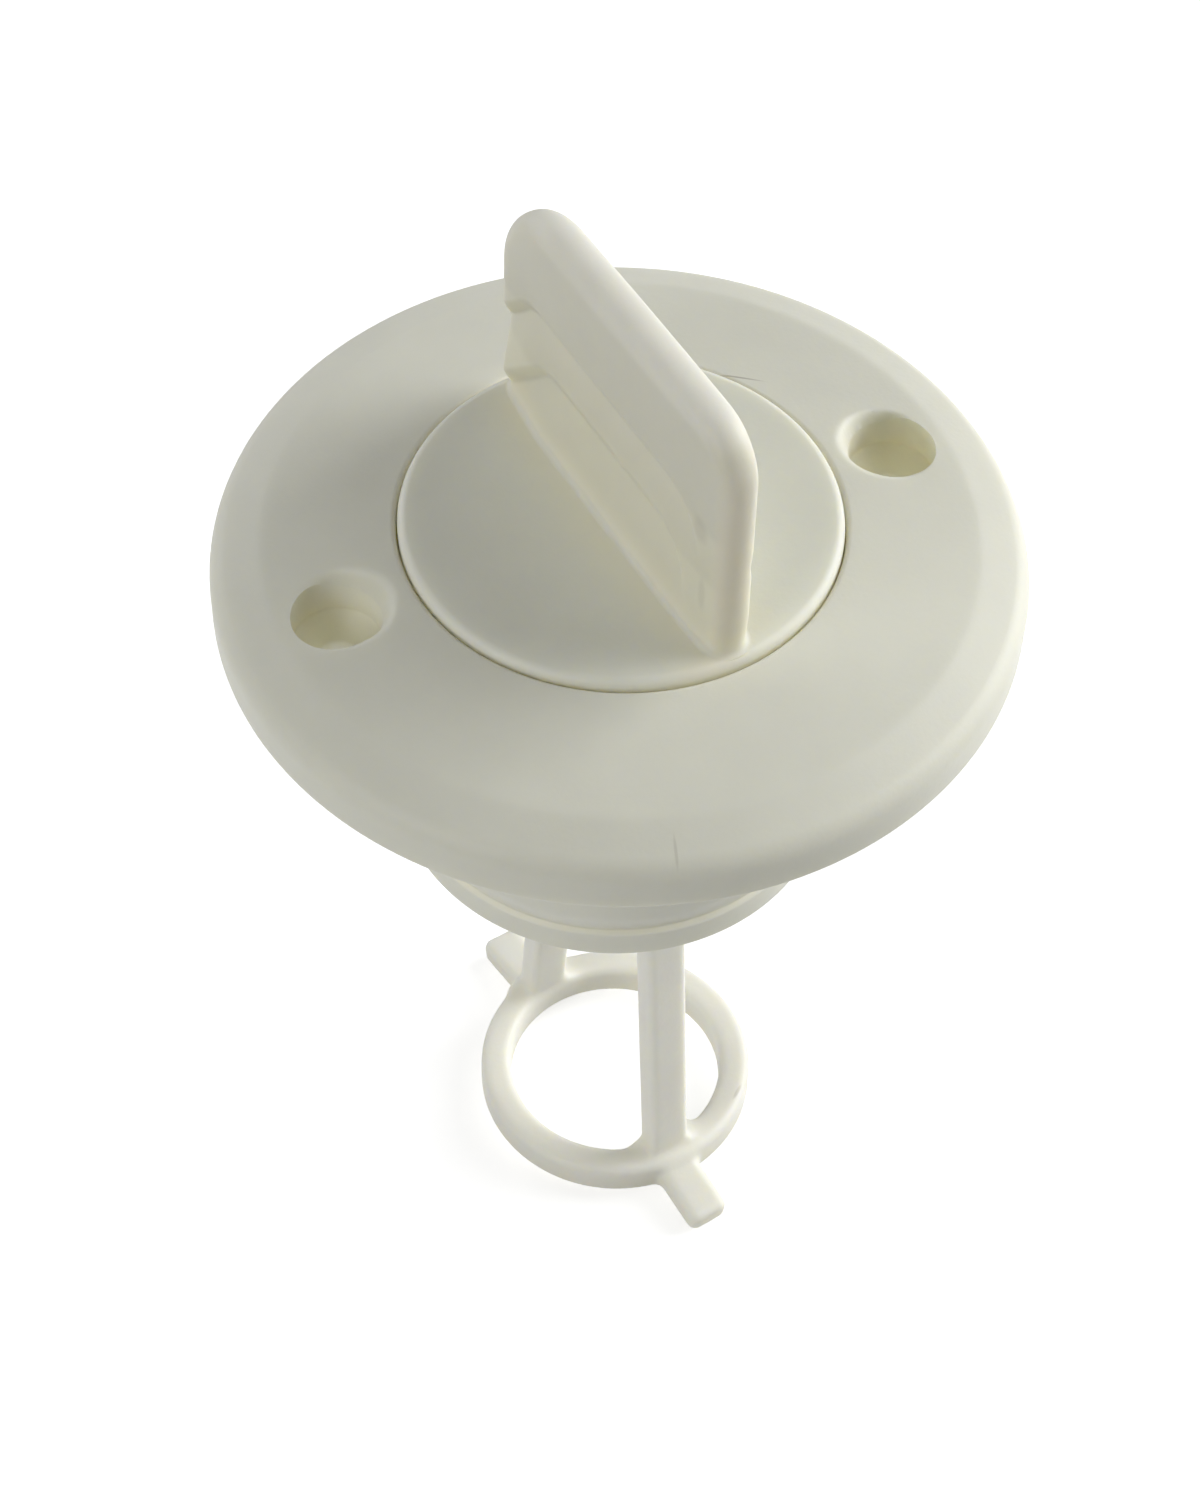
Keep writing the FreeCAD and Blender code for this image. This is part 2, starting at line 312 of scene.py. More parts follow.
# Light, plain and soft, with the floor in metres. Lamps: how far to the right of the object, behind
# it and above it, in metres as the camera sees it, then their size and power
FLOOR_GAP = 0.0003
FLOOR_HALF = 3.0
FLOOR_SHADE = 0.70
FLOOR_LIFT = 0.61
FLOOR_FADE = (0.3, 0.9)
AMBIENT = 0.048
LAMPS = (
    ("right_low", 0.591, 0.239, 0.171, 0.42, 3.25),
    ("right_high", 0.488, 0.131, 0.424, 0.42, 2.0),
    ("left_behind", -0.451, 0.451, 0.171, 0.42, 1.0),
    ("left_front", -0.400, -0.400, 0.340, 0.42, 2.1),
)


def trim_corner(before, corner, after, radius):
    """Points of one rounded corner of an outline."""
    if radius == 0:
        return [corner]
    back = (before - corner) / np.linalg.norm(before - corner)
    ahead = (after - corner) / np.linalg.norm(after - corner)
    half = math.acos(np.clip(back @ ahead, -1, 1)) / 2
    middle = corner + (back + ahead) / np.linalg.norm(back + ahead) * radius / math.sin(half)
    start = corner + back * radius / math.tan(half) - middle
    end = corner + ahead * radius / math.tan(half) - middle
    sweep = math.pi - 2 * half
    count = max(2, math.ceil(math.degrees(sweep) / CORNER_ANGLE))
    points = []
    for i in range(count + 1):
        share = i / count
        points.append(middle + (start * math.sin((1 - share) * sweep)
                                + end * math.sin(share * sweep)) / math.sin(sweep))
    return points


def outline(corners, closed=True):
    """Outline through (radius, height, rounding) corners, with its straight runs divided."""
    places = [np.array(c[:2], float) for c in corners]
    count = len(places)
    points = []
    for i, corner in enumerate(corners):
        if not closed and i in (0, count - 1):
            points.append(places[i])
        else:
            points += trim_corner(places[i - 1], places[i], places[(i + 1) % count], corner[2])
    if closed:
        points.append(points[0])
    divided = []
    for a, b in zip(points, points[1:]):
        pieces = max(1, math.ceil(np.linalg.norm(b - a) / LONGEST_RUN))
        divided += [a + (b - a) * i / pieces for i in range(pieces)]
    if not closed:
        divided.append(points[-1])
    return np.array(divided)


def new_piece(name, points, faces):
    """A mesh object from points in millimetres."""
    mesh = bpy.data.meshes.new(name)
    mesh.from_pydata((np.asarray(points) * MM).tolist(), [], [tuple(f) for f in faces])
    work = bmesh.new()
    work.from_mesh(mesh)
    bmesh.ops.remove_doubles(work, verts=work.verts, dist=WELD * MM)
    bmesh.ops.recalc_face_normals(work, faces=work.faces)
    work.to_mesh(mesh)
    work.free()
    piece = bpy.data.objects.new(name, mesh)
    bpy.context.scene.collection.objects.link(piece)
    return piece


def grid_faces(rows, columns, wrap_rows, wrap_columns):
    """Quads of a grid whose points are stored row by row."""
    faces = []
    for i in range(rows if wrap_rows else rows - 1):
        below = (i + 1) % rows
        for j in range(columns if wrap_columns else columns - 1):
            beside = (j + 1) % columns
            faces.append((i * columns + j, i * columns + beside,
                          below * columns + beside, below * columns + j))
    return faces


def turned(name, section, angles, closed=True, lower=None):
    """A section turned about Z. lower(x, y, z) may move the points' heights."""
    angles = np.radians(angles)
    x = section[:, 0][:, None] * np.cos(angles)
    y = section[:, 0][:, None] * np.sin(angles)
    z = np.repeat(section[:, 1][:, None], len(angles), axis=1)
    if lower is not None:
        z = lower(x, y, z)
    points = np.stack([x, y, z], axis=-1).reshape(-1, 3)
    return new_piece(name, points, grid_faces(len(section), len(angles), closed, True))


def combine(base, tools, operation):
    """Join or cut closed meshes into base, and remove the tools."""
    for tool in tools:
        change = base.modifiers.new(operation, "BOOLEAN")
        change.operation = operation
        change.solver = "MANIFOLD"
        change.object = tool
    bpy.context.view_layer.update()
    view = bpy.context.evaluated_depsgraph_get()
    made = bpy.data.meshes.new_from_object(base.evaluated_get(view))
    base.modifiers.clear()
    made.name = base.name
    base.data = made
    for tool in tools:
        bpy.data.objects.remove(tool)


def smooth_min(a, b, width):
    """The lower of two heights or distances, with the crossing rounded."""
    share = np.clip(0.5 + 0.5 * (b - a) / width, 0, 1)
    return b + (a - b) * share - width * share * (1 - share)


def helix_ridge(name, base_r, crest_r, heights, phase):
    """One thread ridge between two heights, run out at both ends, which starts at angle phase."""
    first, last = heights
    turns = (last - first) / PITCH * 360.0
    count = int(turns / RIDGE_STEP)
    inward = 1 if crest_r < base_r else -1
    root = base_r + inward * RIDGE_SINK
    root_half = RIDGE_ROOT_WIDTH / 2
    points = []
    for i in range(count + 1):
        degrees = turns * i / count
        reach = min(1.0, degrees / RIDGE_RUNOUT, (turns - degrees) / RIDGE_RUNOUT)
        reach = max(reach, RIDGE_LEAST)
        crest = base_r + (crest_r - base_r) * reach
        middle = first + PITCH * degrees / 360.0
        angle = math.radians(degrees + phase)
        crest_half = root_half + (RIDGE_CREST_WIDTH / 2 - root_half) * reach
        side = crest + RIDGE_CROWN * reach * inward
        section = ((root, -root_half), (base_r, -root_half), (side, -crest_half - RIDGE_FLANK_SIDE),
                   (crest, -crest_half + RIDGE_CREST_SIDE), (crest, crest_half - RIDGE_CREST_SIDE),
                   (side, crest_half + RIDGE_FLANK_SIDE), (base_r, root_half), (root, root_half))
        for radius, height in section:
            points.append((radius * math.cos(angle), radius * math.sin(angle), middle + height))
    around = len(section)
    faces = grid_faces(count + 1, around, False, True)
    faces.append(tuple(range(around)))
    faces.append(tuple(range(count * around, (count + 1) * around)))
    return new_piece(name, points, faces)


def dipped(x, y, z):
    """Flange top with the soft lips of the screw recesses, widest on the side of the plug."""
    lip = FLANGE_CROWN - SCREW_LIP_DROP + (SCREW_X - RECESS_R) / (CROWN_EDGE_R - RECESS_R) * (
        CROWN_EDGE_HEIGHT - FLANGE_CROWN)
    on_top = (z > RIM_HEIGHT) & (np.hypot(x, y) > RECESS_R + DIP_INSET)
    for side, facing in SCREW_LIP_SIDES:
        aside = x - side * SCREW_X
        away = np.hypot(aside, y)
        turn = math.radians(facing)
        share = (aside * math.cos(turn) + y * math.sin(turn)) / np.maximum(away, SCREW_MIDDLE)
        share = np.clip((share - SCREW_LIP_START) / SCREW_LIP_SPREAD, 0, 1)
        share = share * share * (3 - 2 * share)
        dip = SCREW_LIP_LEAST + SCREW_LIP_DIP * share
        out = away - SCREW_RECESS_R
        bend = lip + out - dip * np.exp(-np.maximum(out, 0) / SCREW_LIP_FALL)
        bend = np.maximum(bend, lip - 2 * dip)
        z = np.where(on_top, smooth_min(z, bend, SCREW_LIP_SOFT), z)
    return z


def socket_piece():
    """Flange, recess and barrel in one, with screw holes and the inner thread."""
    lip_start = LIP_LENGTH - BARREL_LENGTH
    crease = lip_start + CREASE_WIDTH
    section = outline([
        (BORE_R, -BARREL_LENGTH, BARREL_EDGE_ROUND),
        (LIP_R, -BARREL_LENGTH, BARREL_EDGE_ROUND),
        (LIP_R, lip_start, LIP_ROUND),
        (CREASE_R, crease, CREASE_ROUND),
        (BARREL_R, crease + BARREL_SHOULDER, BARREL_SHOULDER_ROUND),
        (BARREL_R, 0, 0),
        (FLANGE_R, 0, UNDERSIDE_ROUND),
        (FLANGE_R, RIM_HEIGHT, RIM_ROUND),
        (CROWN_EDGE_R, CROWN_EDGE_HEIGHT, CROWN_EDGE_ROUND),
        (RECESS_R, FLANGE_CROWN, RECESS_LIP_ROUND),
        (RECESS_R, RECESS_FLOOR, 0),
        (BORE_R, RECESS_FLOOR, 0),
    ])
    fine = []
    for a, b in zip(section, np.roll(section, -1, axis=0)):
        high_enough = min(a[1], b[1]) > CROWN_EDGE_HEIGHT - CROWN_START
        on_crown = high_enough and b[0] > RECESS_R + CROWN_INSET
        pieces = max(1, math.ceil(np.linalg.norm(b - a) / CROWN_STEP)) if on_crown else 1
        fine += [a + (b - a) * i / pieces for i in range(pieces)]
    near = list(np.arange(-HOLE_HALF_ANGLE, HOLE_HALF_ANGLE, HOLE_ANGLE_STEP))
    rest = list(np.arange(HOLE_HALF_ANGLE, 180 - HOLE_HALF_ANGLE, SOCKET_ANGLE_STEP))
    angles = near + rest + [a + 180 for a in near + rest]
    piece = turned("socket_moulding", np.array(fine), angles, lower=dipped)
    cutters = []
    for side in (-1, 1):
        hole = outline([
            (0.0, -CUTTER_SPARE, 0),
            (SCREW_HOLE_R, -CUTTER_SPARE, 0),
            (SCREW_HOLE_R, SCREW_SEAT_HEIGHT - SCREW_RECESS_R + SCREW_HOLE_R, SCREW_SEAT_ROUND),
            (SCREW_RECESS_R, SCREW_SEAT_HEIGHT, SCREW_SEAT_ROUND),
            (SCREW_RECESS_R, FLANGE_CROWN + CUTTER_SPARE, 0),
            (0.0, FLANGE_CROWN + CUTTER_SPARE, 0),
        ], closed=False)
        cutter = turned("hole", hole, np.arange(0, 360, CUTTER_ANGLE_STEP), closed=False)
        cutter.data.transform(Matrix.Translation((side * SCREW_X * MM, 0, 0)))
        cutters.append(cutter)
    combine(piece, cutters, "DIFFERENCE")
    # Half a pitch more than in line, so that each ridge lies midway between the other's turns
    between = (SOCKET_RIDGE[0] - PLUG_RIDGE[0]) / PITCH + 0.5
    ridge = helix_ridge("inner_thread", BORE_R, SOCKET_CREST_R, SOCKET_RIDGE,
                        SEATED_TURN + 360 * between)
    combine(piece, [ridge], "UNION")
    return piece


def head_and_stem():
    """Head, neck and hollow stem, turned in one."""
    section = outline([
        (0.0, HEAD_UNDER, 0),
        (STEM_BORE_R, HEAD_UNDER, STEM_ROOF_ROUND),
        (STEM_BORE_R, STEM_END, STEM_EDGE_ROUND),
        (STEM_R, STEM_END, STEM_EDGE_ROUND),
        (STEM_R, NECK_END - NECK_TAPER, 0),
        (NECK_R, NECK_END, 0),
        (NECK_R, HEAD_UNDER, 0),
        (HEAD_R, HEAD_UNDER, HEAD_UNDER_ROUND),
        (HEAD_R, HEAD_TOP, HEAD_EDGE_ROUND),
        (0.0, HEAD_TOP, 0),
    ], closed=False)
    return turned("plug_moulding", section, np.arange(0, 360, PLUG_ANGLE_STEP), closed=False)


def wing_columns():
    """Places along the wing, close together at its two rounded ends."""
    ends = np.array(WING_END_STEPS)
    first, last = WING_MIDDLE_ENDS
    middle = np.arange(first - WING_HALF, WING_HALF - last, WING_STEP)
    return np.concatenate([ends - WING_HALF, middle, (WING_HALF - ends)[::-1]])


def wing_drops():
    """Shares of the wing's height below its top edge, close together at the edge."""
    turn = np.radians(np.linspace(0, 90, EDGE_ROWS))
    edge = EDGE_ROUND * (1 - np.cos(turn))
    face = np.arange(EDGE_ROUND + WING_ROW_STEP, WING_HEIGHT - FOOT_FILLET, WING_ROW_STEP)
    foot = WING_HEIGHT - FOOT_FILLET * np.array(WING_FOOT_SHARES)
    return np.concatenate([edge, face, foot])


def wing_top(along):
    """Height of the wing's outline at a place along it."""
    radius = np.where(along < 0, SHOULDER_FRONT, SHOULDER_BACK)
    into = np.clip(np.abs(along) - (WING_HALF - radius), 0, radius)
    return WING_HEIGHT - radius + np.sqrt(np.maximum(radius ** 2 - into ** 2, 0))


def edge_distance(along, up):
    """How far inside the wing's outline a point lies."""
    radius = np.where(along < 0, SHOULDER_FRONT, SHOULDER_BACK)
    to_end = WING_HALF - np.abs(along)
    to_top = WING_HEIGHT - up
    plain = np.minimum(to_end, to_top)
    corner = radius - np.hypot(np.maximum(radius - to_end, 0), np.maximum(radius - to_top, 0))
    return np.where((to_end < radius) & (to_top < radius), corner, plain)


def ledge_depth(half, along, up, ledge, lipped):
    """How deep a ledge cuts into a face: the face above it rolls under, the one below slants out.

    A lipped face keeps the ledge's depth to its open end. On the other one it fades there.
    """
    drop, band, closed_end, closed_round, slope_start = ledge
    into = np.maximum(along - slope_start, 0)
    knee = LEDGE_KNEE_ROUND / math.sqrt(2)
    bend = LEDGE_KNEE_ROUND - np.sqrt(LEDGE_KNEE_ROUND ** 2 - np.minimum(into, knee) ** 2)
    level = WING_HEIGHT - drop
    below = level - bend - np.maximum(into - knee, 0) - up
    closed = np.clip(-along - (closed_end - closed_round), 0, closed_round)
    arc = closed_round - np.sqrt(closed_round ** 2 - closed ** 2)
    roll = np.clip(1 + (below - arc) / LEDGE_ROLL, 0, 1) ** LEDGE_BEND
    end = np.clip((along + closed_end) / LEDGE_FADE + 0.5, 0, 1)
    face = (WING_FOOT[0] + (WING_CREST[0] - WING_FOOT[0]) * level / WING_HEIGHT) / 2
    slant = np.clip(1 - (below if lipped else level - up) / band, 0, 1)
    flat = face - LEDGE_DEPTH * slant - along * math.tan(math.radians(LEDGE_SLEW))
    return np.maximum(half - flat, 0) * roll * end


def wing_face(along, up, side):
    """Half thickness of the wing at a point of one face."""
    share = (up + WING_ROOT) / (WING_HEIGHT + WING_ROOT + WING_MARGIN)
    middle = (WING_FOOT[0] + (WING_CREST[0] - WING_FOOT[0]) * share) / 2
    end = (WING_FOOT[1] + (WING_CREST[1] - WING_FOOT[1]) * share) / 2
    half = middle + (end - middle) * (along / (WING_HALF + WING_MARGIN)) ** 2
    facing = along if side < 0 else -along
    for ledge in zip(LEDGE_DROPS, LEDGE_BANDS, LEDGE_CLOSED_ENDS, LEDGE_CLOSED_ROUNDS,
                     LEDGE_SLOPE_STARTS):
        half = half - ledge_depth(half, facing, up, ledge, side < 0)
    inset = np.clip(1 - edge_distance(along, up) / EDGE_ROUND, 0, 1)
    return half * (1 - inset ** EDGE_POWER) ** (1 / EDGE_POWER)


def finger_wing():
    """Lens-shaped wing with two ledges on each face, alike after half a turn."""
    columns, drops = wing_columns(), wing_drops()
    along = np.repeat(columns[None, :], len(drops), axis=0)
    up = wing_top(along) * (1 - drops[:, None] / WING_HEIGHT)
    in_fillet = np.clip(up, 0, FOOT_FILLET)
    flare = FOOT_FILLET - np.sqrt(FOOT_FILLET ** 2 - (FOOT_FILLET - in_fillet) ** 2)
    to_end = np.clip(1 - (WING_HALF - np.abs(along)) / EDGE_ROUND, 0, 1)
    outward_y = np.sign(along) * to_end
    outward_x = np.sqrt(1 - to_end ** 2)
    sides = []
    for side in (-1, 1):
        half = wing_face(along, up, side)
        x = side * (half + flare * outward_x)
        y = along + flare * outward_y
        sides.append(np.stack([x, y, up + HEAD_TOP], axis=-1).reshape(-1, 3))
    rows, count = along.shape
    faces = grid_faces(rows, count, False, False)
    other = [tuple(v + rows * count for v in f) for f in faces]
    last = (rows - 1) * count
    foot = [(last + j, last + j + 1, last + j + 1 + rows * count, last + j + rows * count)
            for j in range(count - 1)]
    ends = [(i * count + j, (i + 1) * count + j, (i + 1) * count + j + rows * count,
             i * count + j + rows * count) for i in range(rows - 1) for j in (0, count - 1)]
    return new_piece("finger_wing", np.concatenate(sides), faces + other + foot + ends)


def rounded_box(across, half, rounding):
    """Distance to a rounded box from distances across its three middle planes."""
    outside = [np.abs(a) - h + rounding for a, h in zip(across, half)]
    length = np.sqrt(sum(np.maximum(o, 0) ** 2 for o in outside))
    inside = np.minimum(np.maximum.reduce(outside), 0)
    return length + inside - rounding


def cage_distance(x, y, z):
    """Distance to the ring, the two legs and the two lugs."""
    turn = math.radians(CAGE_TURN)
    x, y = x * math.cos(turn) + y * math.sin(turn), y * math.cos(turn) - x * math.sin(turn)
    out = np.abs(y)
    ring = rounded_box((np.hypot(x - RING_ASIDE, y - RING_AHEAD) - RING_R, z + RING_DEPTH),
                       (RING_HALF_WIDTH, RING_HALF_THICKNESS), RING_ROUND)
    run = np.array([LEG_FOOT_R - LEG_ROOT_R, -RING_DEPTH - LEG_END_BELOW - LEG_TOP])
    length = np.linalg.norm(run)
    run /= length
    along = (out - LEG_ROOT_R) * run[0] + (z - LEG_TOP) * run[1]
    thick = (out - LEG_ROOT_R) * run[1] - (z - LEG_TOP) * run[0]
    above = np.clip(z + RING_DEPTH - RING_HALF_THICKNESS, 0, LEG_FLARE)
    flare = LEG_FLARE - np.sqrt(LEG_FLARE ** 2 - (LEG_FLARE - above) ** 2)
    leg = rounded_box((x / (1 + flare / LEG_HALF_WIDTH), thick, along - length / 2),
                      (LEG_HALF_WIDTH, LEG_HALF_THICKNESS, length / 2), LEG_ROUND)
    droop = math.radians(LUG_DROOP)
    reach = (out - LUG_ROOT_R) * math.cos(droop) - (z + RING_DEPTH) * math.sin(droop)
    lift = (out - LUG_ROOT_R) * math.sin(droop) + (z + RING_DEPTH) * math.cos(droop)
    lug_half = (LUG_TIP_R - LUG_ROOT_R) / 2
    lug = rounded_box((x, reach - lug_half, lift),
                      (LUG_HALF_WIDTH, lug_half, LUG_HALF_THICKNESS), LUG_ROUND)
    return smooth_min(smooth_min(ring, leg, CAGE_BLEND), lug, CAGE_BLEND)


def cage():
    """Ring, legs and lugs with soft corners, meshed from their distance field."""
    reach = RING_R + RING_HALF_WIDTH + RING_ASIDE + CAGE_SIDE_MARGIN
    xs = np.arange(-reach, reach, CELL)
    ys = np.arange(-LUG_TIP_R - CAGE_MARGIN, LUG_TIP_R + CAGE_MARGIN, CELL)
    low = np.arange(CAGE_FOOT, CAGE_FINE_TOP, CELL)
    high = np.arange(low[-1] + 2 * CELL, LEG_TOP - CAGE_MARGIN, LEG_CELL)
    zs = np.concatenate([low, high, [LEG_TOP + step for step in LEG_TOP_CELLS]])
    x, y, z = np.meshgrid(xs, ys, zs, indexing="ij")
    field = cage_distance(x, y, z)
    grid = openvdb.FloatGrid(FAR_OUTSIDE)
    grid.copyFromArray(field.astype(np.float32))
    points, quads = grid.convertToQuads(0.0)
    places = np.stack([np.interp(points[:, i], np.arange(len(axis)), axis)
                       for i, axis in enumerate((xs, ys, zs))], axis=-1)
    return new_piece("cage", places, quads)


def plug_piece():
    """The turning moulding: head, wing, threaded stem, legs, ring and lugs in one."""
    piece = head_and_stem()
    ridge = helix_ridge("outer_thread", STEM_R, PLUG_CREST_R, PLUG_RIDGE, 0.0)
    combine(piece, [finger_wing(), cage(), ridge], "UNION")
    piece.data.transform(Matrix.Rotation(math.radians(SEATED_TURN), 4, "Z"))
    return piece


def soften(piece):
    """Smooth shading, with hard edges only at sharp corners."""
    mesh = piece.data
    work = bmesh.new()
    work.from_mesh(mesh)
    for face in work.faces:
        face.smooth = True
    for edge in work.edges:
        edge.smooth = not (edge.is_manifold and edge.calc_face_angle(0) > math.radians(HARD_EDGE))
    work.to_mesh(mesh)
    work.free()
    even = piece.modifiers.new("even_shading", "WEIGHTED_NORMAL")
    even.keep_sharp = True
    even.weight = EVEN_WEIGHT


def new_material(name, kind):
    """A material with one shader of a kind, and its nodes, links and shader."""
    material = bpy.data.materials.new(name)
    material.use_nodes = True
    nodes, links = material.node_tree.nodes, material.node_tree.links
    nodes.clear()
    shader = nodes.new(kind)
    result = nodes.new("ShaderNodeOutputMaterial")
    links.new(shader.outputs[0], result.inputs["Surface"])
    return material, nodes, links, shader


def ranged(nodes, links, value, to, start=(0.0, 1.0)):
    """A value's range from start mapped to another one, and held at its ends."""
    change = nodes.new("ShaderNodeMapRange")
    change.inputs["From Min"].default_value, change.inputs["From Max"].default_value = start
    change.inputs["To Min"].default_value, change.inputs["To Max"].default_value = to
    links.new(value, change.inputs["Value"])
    return change


def plain_noise(nodes, links, place, scale, detail):
    """Noise over the object's own coordinates."""
    noise = nodes.new("ShaderNodeTexNoise")
    noise.inputs["Scale"].default_value = scale
    noise.inputs["Detail"].default_value = detail
    links.new(place.outputs["Object"], noise.inputs["Vector"])
    return noise.outputs["Fac"]


def add_mark(nodes, links, place, colour, mark):
    """Tint an ellipsoid of the surface: middle and half sizes in mm, and its turn from X."""
    middle, half, turn, tint, share = mark
    fitted = nodes.new("ShaderNodeMapping")
    fitted.vector_type = "TEXTURE"
    fitted.inputs["Location"].default_value = [v * MM for v in middle]
    fitted.inputs["Rotation"].default_value = (0, 0, math.radians(turn))
    fitted.inputs["Scale"].default_value = [v * MM for v in half]
    links.new(place.outputs["Object"], fitted.inputs["Vector"])
    reach = nodes.new("ShaderNodeVectorMath")
    reach.operation = "LENGTH"
    links.new(fitted.outputs["Vector"], reach.inputs[0])
    fade = ranged(nodes, links, reach.outputs["Value"], (share, 0.0), MARK_FADE)
    fade.interpolation_type = "SMOOTHSTEP"
    tinted = nodes.new("ShaderNodeMix")
    tinted.data_type = "RGBA"
    tinted.inputs["B"].default_value = (*tint, 1)
    links.new(colour, tinted.inputs["A"])
    links.new(fade.outputs["Result"], tinted.inputs["Factor"])
    return tinted.outputs["Result"]


def tone_by_height(nodes, links, place, tones_and_painted_light):
    """Colour that changes with height: pairs of a height in mm and a colour, from low to high."""
    parts = nodes.new("ShaderNodeSeparateXYZ")
    links.new(place.outputs["Object"], parts.inputs[0])
    low, high = tones_and_painted_light[0][0], tones_and_painted_light[-1][0]
    share = ranged(nodes, links, parts.outputs["Z"], (0.0, 1.0), (low * MM, high * MM))
    ramp = nodes.new("ShaderNodeValToRGB")
    stops = ramp.color_ramp.elements
    while len(stops) < len(tones_and_painted_light):
        stops.new(1.0)
    for stop, (height, _) in zip(stops, tones_and_painted_light):
        stop.position = (height - low) / (high - low)
    for stop, (_, colour) in zip(stops, tones_and_painted_light):
        stop.color = (*colour, 1)
    links.new(share.outputs["Result"], ramp.inputs["Fac"])
    return ramp.outputs["Color"]


def plastic(name, tones_and_painted_light, hollow_light_and_shade, scatter, depths, marks):
    """Moulded plastic: faint mottling, fine grain, a few marks, and painted light and shade by
    height and in hollows.
    """
    material, nodes, links, shader = new_material(name, "ShaderNodeBsdfPrincipled")
    place = nodes.new("ShaderNodeTexCoord")
    patches = plain_noise(nodes, links, place, MOTTLE_SCALE, MOTTLE_DETAIL)
    mottle = ranged(nodes, links, patches, MOTTLE_RANGE)
    # The tones by height hold painted light and shade besides the plastic's own colour
    tone = nodes.new("ShaderNodeVectorMath")
    tone.operation = "SCALE"
    links.new(tone_by_height(nodes, links, place, tones_and_painted_light), tone.inputs[0])
    links.new(mottle.outputs["Result"], tone.inputs["Scale"])
    surface = tone.outputs["Vector"]
    for mark in marks:
        surface = add_mark(nodes, links, place, surface, mark)
    # Painted light and shade in hollows: where the surroundings close in, the hollow colours are
    # mixed in
    openness = nodes.new("ShaderNodeAmbientOcclusion")
    openness.inputs["Distance"].default_value = HOLLOW_REACH
    openness.samples = HOLLOW_SAMPLES
    in_open = ranged(nodes, links, openness.outputs["AO"], (0.0, 1.0), (CLOSED_SHARE, 1.0))
    painted_hollow_mix = nodes.new("ShaderNodeMix")
    painted_hollow_mix.data_type = "RGBA"
    links.new(in_open.outputs["Result"], painted_hollow_mix.inputs["Factor"])
    links.new(tone_by_height(nodes, links, place, hollow_light_and_shade), painted_hollow_mix.inputs["A"])
    links.new(surface, painted_hollow_mix.inputs["B"])
    links.new(painted_hollow_mix.outputs["Result"], shader.inputs["Base Color"])
    grain = plain_noise(nodes, links, place, GRAIN_SCALE, GRAIN_DETAIL)
    bump = nodes.new("ShaderNodeBump")
    bump.inputs["Strength"].default_value = GRAIN_STRENGTH
    bump.inputs["Distance"].default_value = GRAIN_HEIGHT
    links.new(grain, bump.inputs["Height"])
    links.new(bump.outputs["Normal"], shader.inputs["Normal"])
    rough = ranged(nodes, links, grain, PLASTIC_ROUGHNESS)
    links.new(rough.outputs["Result"], shader.inputs["Roughness"])
    shader.inputs["IOR"].default_value = PLASTIC_IOR
    shader.inputs["Subsurface Weight"].default_value = scatter
    shader.inputs["Subsurface Radius"].default_value = SCATTER_RADIUS
    in_open_depth, hollow_depth = depths
    depth = ranged(nodes, links, openness.outputs["AO"], (hollow_depth, in_open_depth),
                   (CLOSED_SHARE, SHALLOW_SHARE))
    links.new(depth.outputs["Result"], shader.inputs["Subsurface Scale"])
    return material


def rubber():
    """Black sealing ring."""
    material, nodes, links, shader = new_material("seal_rubber", "ShaderNodeBsdfPrincipled")
    place = nodes.new("ShaderNodeTexCoord")
    noise = plain_noise(nodes, links, place, RUBBER_SCALE, RUBBER_DETAIL)
    rough = ranged(nodes, links, noise, RUBBER_ROUGHNESS)
    links.new(rough.outputs["Result"], shader.inputs["Roughness"])
    colour = nodes.new("ShaderNodeMix")
    colour.data_type = "RGBA"
    colour.inputs["A"].default_value = (*RUBBER_TONES[0], 1)
    colour.inputs["B"].default_value = (*RUBBER_TONES[1], 1)
    links.new(noise, colour.inputs["Factor"])
    links.new(colour.outputs["Result"], shader.inputs["Base Color"])
    return material


def dress(piece, material):
    """Give a piece its one material."""
    piece.data.materials.clear()
    piece.data.materials.append(material)


def build_object():
    """All pieces, their materials and the bodies they ride on."""
    socket = socket_piece()
    soften(socket)
    dress(socket, plastic("socket_plastic", SOCKET_TONES_AND_PAINTED_LIGHT, SOCKET_PAINTED_HOLLOW_LIGHT, SOCKET_SCATTER,
                          SOCKET_DEPTHS, SOCKET_MARKS))
    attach(socket, "socket")
    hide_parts("socket")
    plug = plug_piece()
    soften(plug)
    dress(plug, plastic("plug_plastic", PLUG_TONES_AND_PAINTED_LIGHT, PLUG_PAINTED_HOLLOW_LIGHT_AND_SHADE, PLUG_SCATTER, PLUG_DEPTHS,
                        PLUG_MARKS))
    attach(plug, "plug")
    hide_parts("plug")
    dress(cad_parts["sealing_ring"], rubber())


def level_axes():
    """The camera's level directions to the right and ahead."""
    turn = math.radians(CAMERA_TURN)
    return (np.array([math.cos(turn), -math.sin(turn), 0]),
            np.array([math.sin(turn), math.cos(turn), 0]))


def facing_matrix(across, up, back, place):
    """Matrix of a camera or lamp from its three axes and its place."""
    columns = (across, up, back, place)
    return Matrix([[column[row] for column in columns] for row in range(3)] + [[0, 0, 0, 1]])


def camera_axes():
    """Right, up and forward of the photograph's camera."""
    level_right, level_ahead = level_axes()
    high = math.radians(CAMERA_ELEVATION)
    up = level_ahead * math.sin(high) + np.array([0, 0, math.cos(high)])
    ahead = level_ahead * math.cos(high) - np.array([0, 0, math.sin(high)])
    roll = math.radians(CAMERA_ROLL)
    right = level_right * math.cos(roll) + up * math.sin(roll)
    up = up * math.cos(roll) - level_right * math.sin(roll)
    return right, up, ahead


